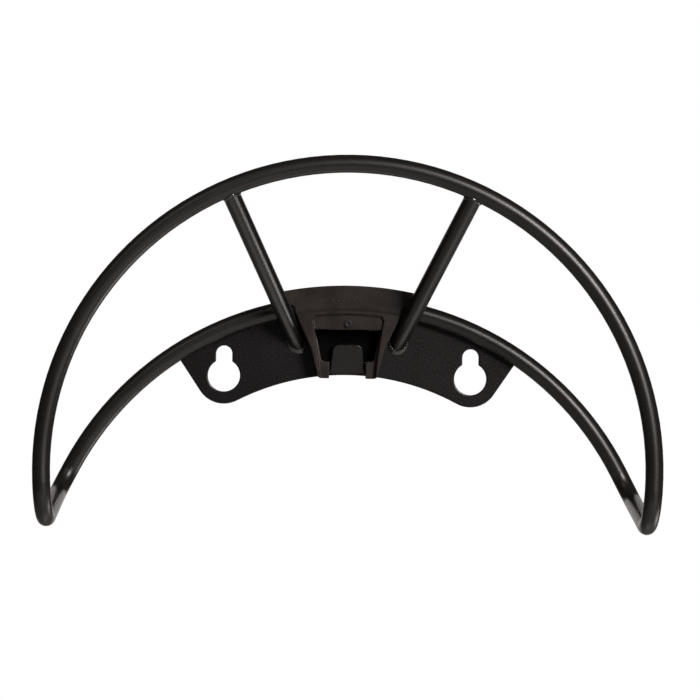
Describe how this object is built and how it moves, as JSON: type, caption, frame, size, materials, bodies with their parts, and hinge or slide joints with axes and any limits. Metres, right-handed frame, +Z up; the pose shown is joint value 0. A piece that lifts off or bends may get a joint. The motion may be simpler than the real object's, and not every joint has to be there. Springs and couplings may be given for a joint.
{
  "type": "wall-mounted storage rack",
  "caption": "Wall rack bent from round bar: a deep arched saddle on a keyhole wall plate, braced by struts, with a moulded pocket in the middle.",
  "frame": {"origin": "on the wall plane, midway between the round parts of the keyholes", "axes": "+X along the wall to the right as seen from the room, +Y into the wall, +Z up"},
  "size_m": [0.3472, 0.11, 0.2077],
  "materials": {
    "bar_coat": "satin black powder coat with a fine texture",
    "plate_coat": "satin black powder coat with a fine grain",
    "weld_coat": "satin black powder coat over weld beads",
    "cover_plastic": "matte moulded plastic, warm black",
    "back_plastic": "matte black moulded plastic",
    "screw_steel": "blackened steel"
  },
  "bodies": {
    "root": {"hoop_bar": "bar_coat", "wall_plate": "plate_coat", "strut_left": "bar_coat", "strut_right": "bar_coat", "pocket_cover": "cover_plastic", "pocket_back": "back_plastic", "cover_screw": "screw_steel", "plate_weld_beads": "weld_coat", "strut_top_weld_left": "weld_coat", "strut_top_weld_right": "weld_coat", "strut_foot_weld_left": "weld_coat", "strut_foot_weld_right": "weld_coat"}
  },
  "joints": []
}
